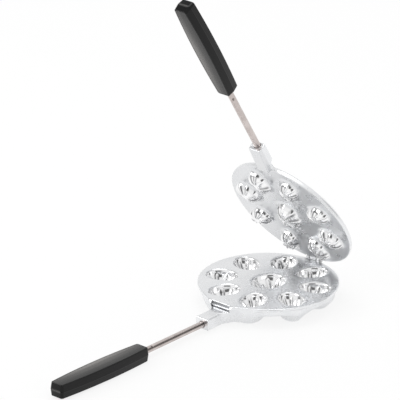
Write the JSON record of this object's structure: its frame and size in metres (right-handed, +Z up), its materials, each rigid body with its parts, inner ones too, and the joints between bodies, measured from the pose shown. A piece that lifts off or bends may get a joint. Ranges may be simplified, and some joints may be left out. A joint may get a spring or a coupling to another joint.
{
  "type": "walnut cookie pan",
  "caption": "Hinged iron for walnut-shaped cookies: a lower plate with nut hollows, a lid with matching domes, and a long rod handle with a moulded grip on each.",
  "frame": {"origin": "on the floor under the middle of the plates, at the flat foot of the centre cup", "axes": "+Z up, handles towards -X, hinge pin along Y at the +X side of the plates"},
  "size_m": [0.426, 0.156, 0.3864],
  "materials": {
    "cast_aluminium": "as-cast, lightly polished",
    "rod_steel": "rolled, bright",
    "pin_steel": "turned",
    "bakelite": "moulded, satin"
  },
  "bodies": {
    "base": {"lower_plate": "cast_aluminium", "hinge_pin": "pin_steel", "lower_rod": "rod_steel", "lower_rod_pin": "pin_steel", "lower_grip": "bakelite"},
    "lid": {"upper_plate": "cast_aluminium", "upper_rod": "rod_steel", "upper_rod_pin": "pin_steel", "upper_grip": "bakelite"}
  },
  "joints": [
    {"name": "lid_hinge", "type": "hinge", "parent": "base", "child": "lid", "pos_m": [0.079, 0, 0.024], "axis": [0, 1, 0], "range_deg": [-58.3, 51.7]}
  ]
}
